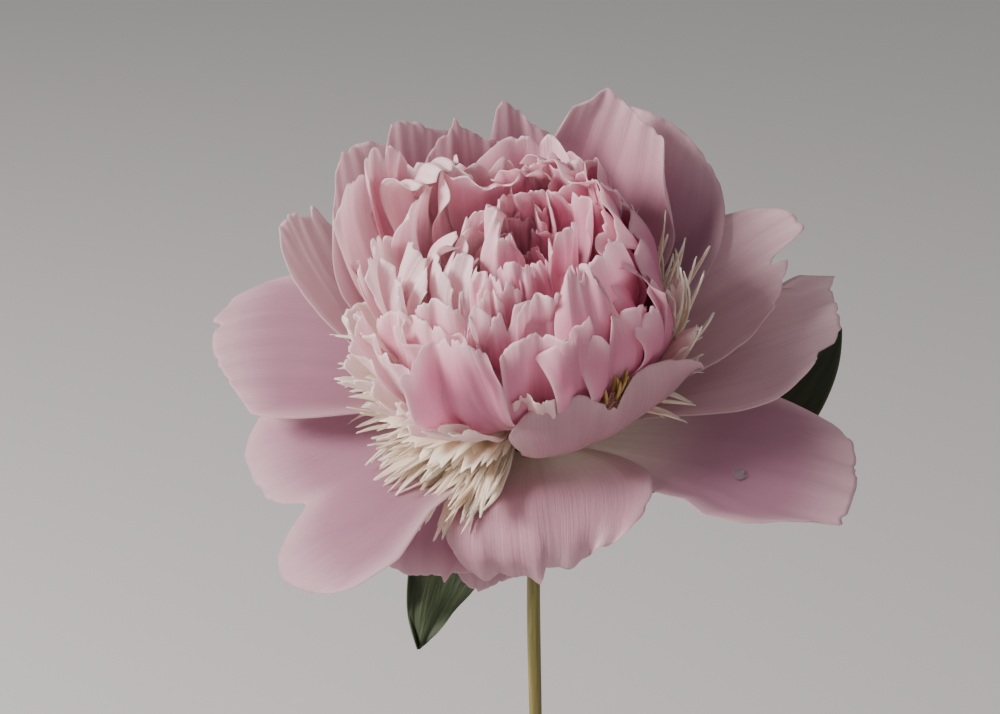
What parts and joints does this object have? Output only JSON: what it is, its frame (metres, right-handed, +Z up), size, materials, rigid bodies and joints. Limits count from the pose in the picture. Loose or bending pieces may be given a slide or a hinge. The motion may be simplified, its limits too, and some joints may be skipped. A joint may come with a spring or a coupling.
{
  "type": "peony in a bud vase",
  "caption": "Cut double peony nodding on its stem in a small glazed bud vase, with broad outer petals, a fringe of narrow petals, a ball of ruffled inner petals and leaves.",
  "frame": {"origin": "middle of the vase's foot, on the surface that it stands on", "axes": "+Z up; the bloom faces -Y; +X is to the right of someone who looks at the bloom"},
  "size_m": [0.1818, 0.1213, 0.3302],
  "materials": {
    "glaze": "gloss",
    "water": "gloss",
    "stem_green": "satin",
    "leaf_green": "satin",
    "inner_pink": "matte",
    "fringe_cream": "matte",
    "stamen_gold": "matte",
    "petal_pink": "matte"
  },
  "bodies": {
    "root": {"vase": "glaze", "water": "water", "stem": "stem_green", "leaf_left": "leaf_green", "leaf_right": "leaf_green", "inner_petals": "inner_pink", "fringe_petals": "fringe_cream", "stamens": "stamen_gold", "guard_petal_01": "petal_pink", "guard_petal_02": "petal_pink", "guard_petal_03": "petal_pink", "guard_petal_04": "petal_pink", "guard_petal_05": "petal_pink", "guard_petal_06": "petal_pink", "guard_petal_07": "petal_pink", "guard_petal_08": "petal_pink", "guard_petal_09": "petal_pink", "guard_petal_10": "petal_pink", "guard_petal_11": "petal_pink", "guard_petal_12": "petal_pink", "guard_petal_13": "petal_pink", "guard_petal_14": "petal_pink", "guard_petal_15": "petal_pink", "guard_petal_16": "petal_pink", "guard_petal_17": "petal_pink", "guard_petal_18": "petal_pink", "guard_petal_19": "petal_pink"}
  },
  "joints": []
}
